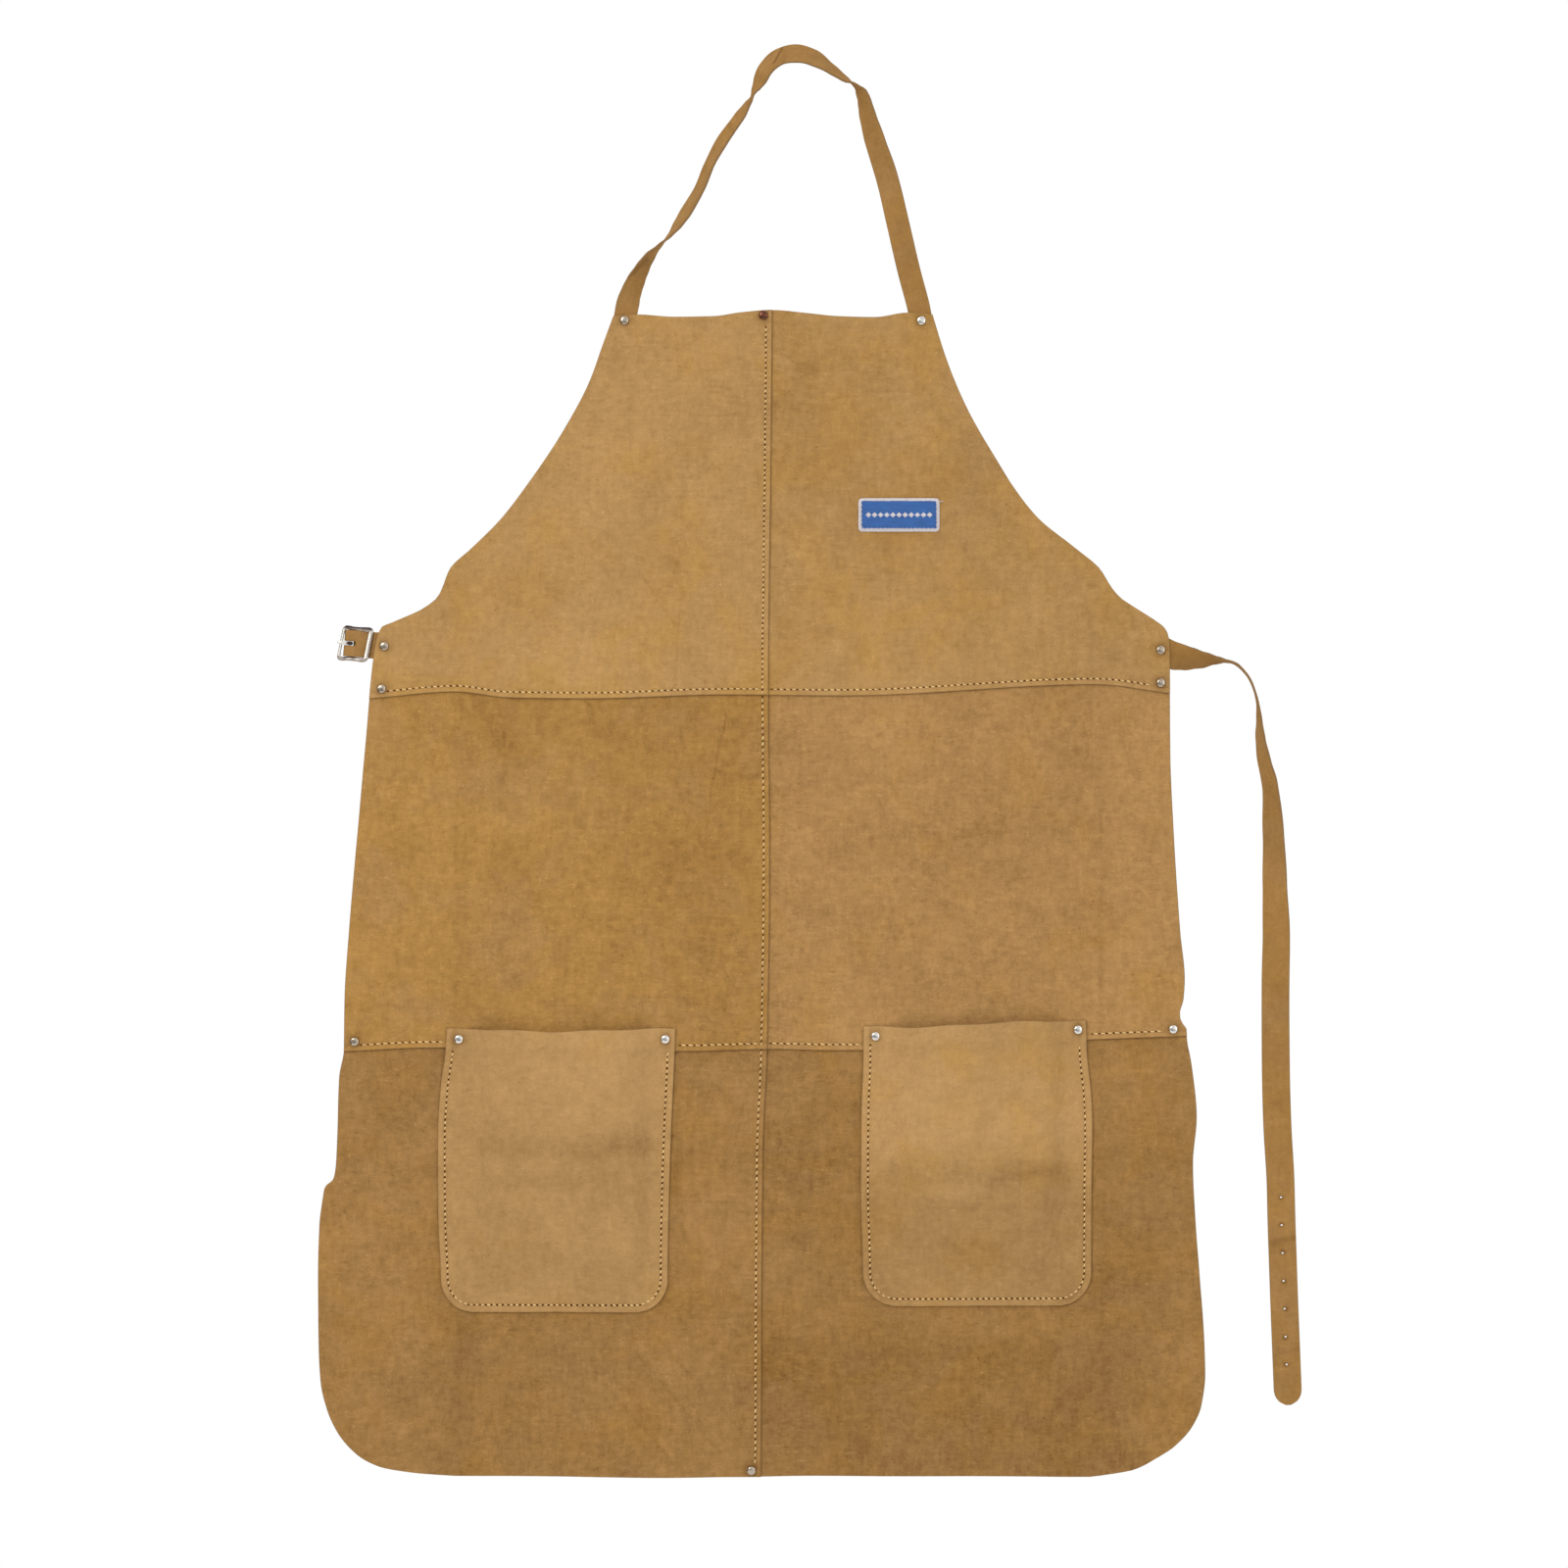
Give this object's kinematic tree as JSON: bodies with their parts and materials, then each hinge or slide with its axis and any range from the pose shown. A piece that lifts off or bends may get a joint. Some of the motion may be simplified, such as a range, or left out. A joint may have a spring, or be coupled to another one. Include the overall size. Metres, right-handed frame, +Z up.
{
  "type": "welding apron",
  "caption": "Split-leather bib apron of lap-sewn panels with patch pockets, riveted neck strap, holed waist strap and buckle tab.",
  "frame": {"origin": "the point under the top of the neck strap where a hook or a neck carries the apron", "axes": "+Z up along the apron's length, -Y out of its front, +X to the right as seen from the front"},
  "size_m": [0.7706, 0.0378, 1.1252],
  "materials": {
    "bib_leather": "suede, light tan nap",
    "skirt_leather": "suede, tan nap",
    "hem_leather": "suede, darker tan nap",
    "pocket_leather": "suede, light tan nap",
    "strap_leather": "suede strap, smooth tan",
    "rivet_steel": "polished nickel plate",
    "buckle_steel": "polished nickel plate",
    "thread": "twisted cream sewing thread",
    "label_weave": "woven blue label",
    "label_thread": "white merrowed border thread"
  },
  "bodies": {
    "root": {"cap_bib_centre": "rivet_steel", "cap_hem_centre": "rivet_steel", "cap_neck_left": "rivet_steel", "cap_neck_right": "rivet_steel", "cap_pocket_left_left": "rivet_steel", "cap_pocket_left_right": "rivet_steel", "cap_pocket_right_left": "rivet_steel", "cap_pocket_right_right": "rivet_steel", "cap_seam_lower_left": "rivet_steel", "cap_seam_lower_right": "rivet_steel", "cap_seam_upper_left": "rivet_steel", "cap_seam_upper_right": "rivet_steel", "cap_tab": "rivet_steel", "cap_waist_strap": "rivet_steel", "label_border": "label_thread", "label_patch": "label_weave", "neck_strap": "strap_leather", "panel_lower_left": "hem_leather", "panel_lower_right": "hem_leather", "panel_middle_left": "skirt_leather", "panel_middle_right": "skirt_leather", "panel_upper_left": "bib_leather", "panel_upper_right": "bib_leather", "pocket_left": "pocket_leather", "pocket_right": "pocket_leather", "rivet_bib_centre": "rivet_steel", "rivet_hem_centre": "rivet_steel", "rivet_neck_left": "rivet_steel", "rivet_neck_right": "rivet_steel", "rivet_pocket_left_left": "rivet_steel", "rivet_pocket_left_right": "rivet_steel", "rivet_pocket_right_left": "rivet_steel", "rivet_pocket_right_right": "rivet_steel", "rivet_seam_lower_left": "rivet_steel", "rivet_seam_lower_right": "rivet_steel", "rivet_seam_upper_left": "rivet_steel", "rivet_seam_upper_right": "rivet_steel", "rivet_tab": "rivet_steel", "rivet_waist_strap": "rivet_steel", "thread_centre_lower": "thread", "thread_centre_middle": "thread", "thread_centre_upper": "thread", "thread_label": "label_thread", "thread_pocket_left": "thread", "thread_pocket_right": "thread", "thread_skirt_centre_left": "thread", "thread_skirt_centre_right": "thread", "thread_skirt_left": "thread", "thread_skirt_right": "thread", "thread_waist_left": "thread", "thread_waist_right": "thread"},
    "waist_strap": {"waist_strap": "strap_leather"},
    "buckle_tab": {"buckle_tab": "strap_leather"},
    "buckle_frame": {"buckle_frame": "buckle_steel", "buckle_centre_bar": "buckle_steel"},
    "buckle_prong": {"buckle_prong": "buckle_steel"}
  },
  "joints": [
    {"name": "waist_strap_swivel", "type": "hinge", "parent": "root", "child": "waist_strap", "pos_m": [0.2935, 0.0045, -0.46], "axis": [0, -1, 0], "range_deg": [-25, 50]},
    {"name": "buckle_tab_swivel", "type": "hinge", "parent": "root", "child": "buckle_tab", "pos_m": [-0.316, 0.0045, -0.457], "axis": [0, -1, 0], "range_deg": [-60, 35]},
    {"name": "buckle_frame_turn", "type": "hinge", "parent": "buckle_tab", "child": "buckle_frame", "pos_m": [-0.34349, 0.0051, -0.45459], "axis": [-0.0872, 0, -0.9962], "range_deg": [0, 100]},
    {"name": "buckle_prong_lift", "type": "hinge", "parent": "buckle_frame", "child": "buckle_prong", "pos_m": [-0.34349, 0.0051, -0.45459], "axis": [0.0872, 0, 0.9962], "range_deg": [0, 85]}
  ]
}
